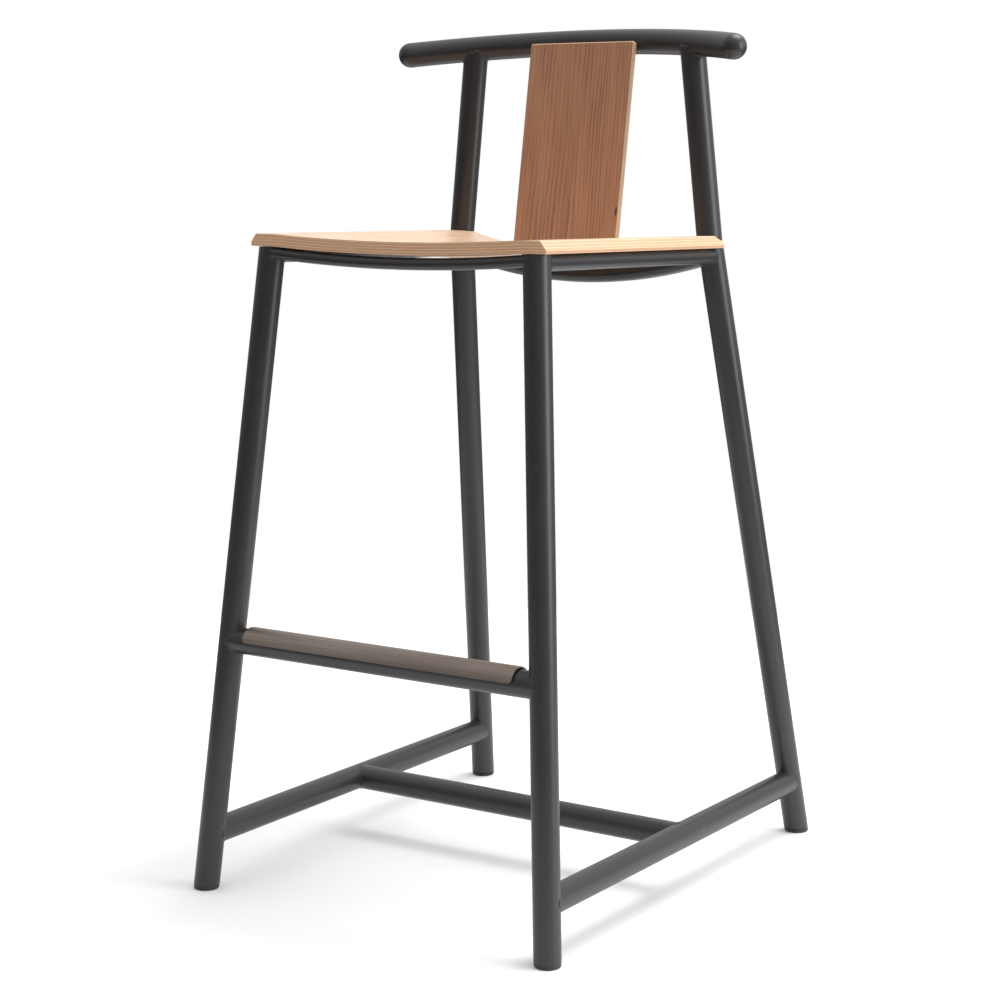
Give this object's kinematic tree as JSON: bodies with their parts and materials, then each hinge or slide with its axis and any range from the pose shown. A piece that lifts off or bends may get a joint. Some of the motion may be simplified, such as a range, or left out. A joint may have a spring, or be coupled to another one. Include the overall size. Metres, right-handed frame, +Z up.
{
  "type": "bar stool",
  "caption": "Bar stool with a welded round-tube frame, dished plywood seat, low curved crest rail with a wooden splat, and a metal-capped footrest.",
  "frame": {"origin": "centre of the stool's outline at floor level", "axes": "+Z up, -Y the front (footrest side), +X to the left of a person sitting on it"},
  "size_m": [0.504, 0.6103, 0.9896],
  "materials": {
    "frame_coat": "satin dark charcoal powder coat",
    "cover_metal": "brushed, brownish pewter",
    "bonding_strip": "matte black foam tape",
    "seat_plywood": "pale plywood, clear satin lacquer",
    "splat_plywood": "straight-grained plywood, clear satin lacquer",
    "screw_steel": "black zinc plated",
    "insert_brass": "plain",
    "glide_plastic": "matte black"
  },
  "bodies": {
    "root": {"front_left_leg": "frame_coat", "front_right_leg": "frame_coat", "rear_left_leg": "frame_coat", "rear_right_leg": "frame_coat", "front_seat_rail": "frame_coat", "rear_seat_rail": "frame_coat", "left_seat_rail": "frame_coat", "right_seat_rail": "frame_coat", "left_back_post": "frame_coat", "right_back_post": "frame_coat", "crest_rail": "frame_coat", "left_crest_cap": "frame_coat", "right_crest_cap": "frame_coat", "footrest_rail": "frame_coat", "left_low_stretcher": "frame_coat", "right_low_stretcher": "frame_coat", "cross_stretcher": "frame_coat", "left_splat_tab": "frame_coat", "right_splat_tab": "frame_coat", "footrest_cover": "cover_metal", "footrest_bonding_strip": "bonding_strip", "seat_panel": "seat_plywood", "back_splat": "splat_plywood", "seat_screws": "screw_steel", "splat_tab_screws": "screw_steel", "splat_foot_screws": "screw_steel", "seat_inserts": "insert_brass", "front_left_glide": "glide_plastic", "front_right_glide": "glide_plastic", "rear_left_glide": "glide_plastic", "rear_right_glide": "glide_plastic"}
  },
  "joints": []
}
